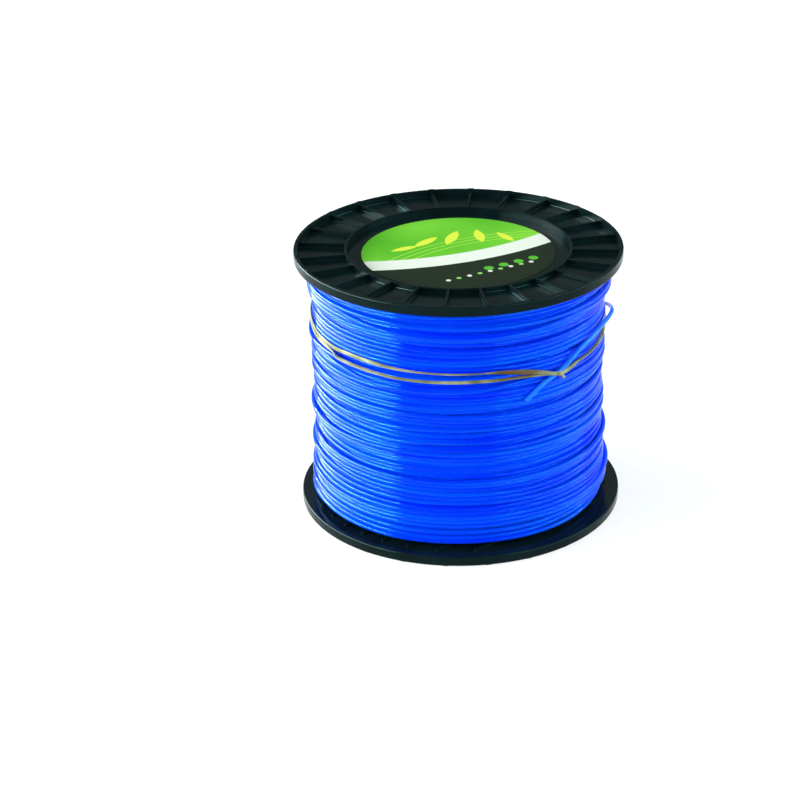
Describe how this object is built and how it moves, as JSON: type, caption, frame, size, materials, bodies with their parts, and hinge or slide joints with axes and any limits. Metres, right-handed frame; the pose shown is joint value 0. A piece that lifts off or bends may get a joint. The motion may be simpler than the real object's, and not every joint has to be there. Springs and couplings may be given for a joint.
{
  "type": "line_spool",
  "caption": "Wide plastic spool with two ribbed disc flanges and a hollow barrel, wound full of thick round nylon line whose cut end is held by a rubber band",
  "frame": {"origin": "centre of the spool's lower seat: on the spool's axis, at the height of the small seat pads on the lower flange's rim", "axes": "+Z along the spool's axis, from the lower flange to the labelled upper flange; +X and +Y across the flanges, +X to the right when looking along +Y at the side where the line's cut end lies"},
  "size_m": [0.2, 0.2, 0.1678],
  "materials": {
    "spool_plastic": "semi-gloss moulded polypropylene",
    "nylon_line": "glossy clear-dyed nylon monofilament",
    "rubber": "natural rubber, slightly waxy",
    "label_paper": "printed coated paper, satin"
  },
  "bodies": {
    "root": {"top_flange": "spool_plastic", "bottom_flange": "spool_plastic", "barrel": "spool_plastic", "line_core": "nylon_line", "line_outer_turns": "nylon_line", "line_tail": "nylon_line", "rubber_band": "rubber", "top_label": "label_paper"}
  },
  "joints": []
}
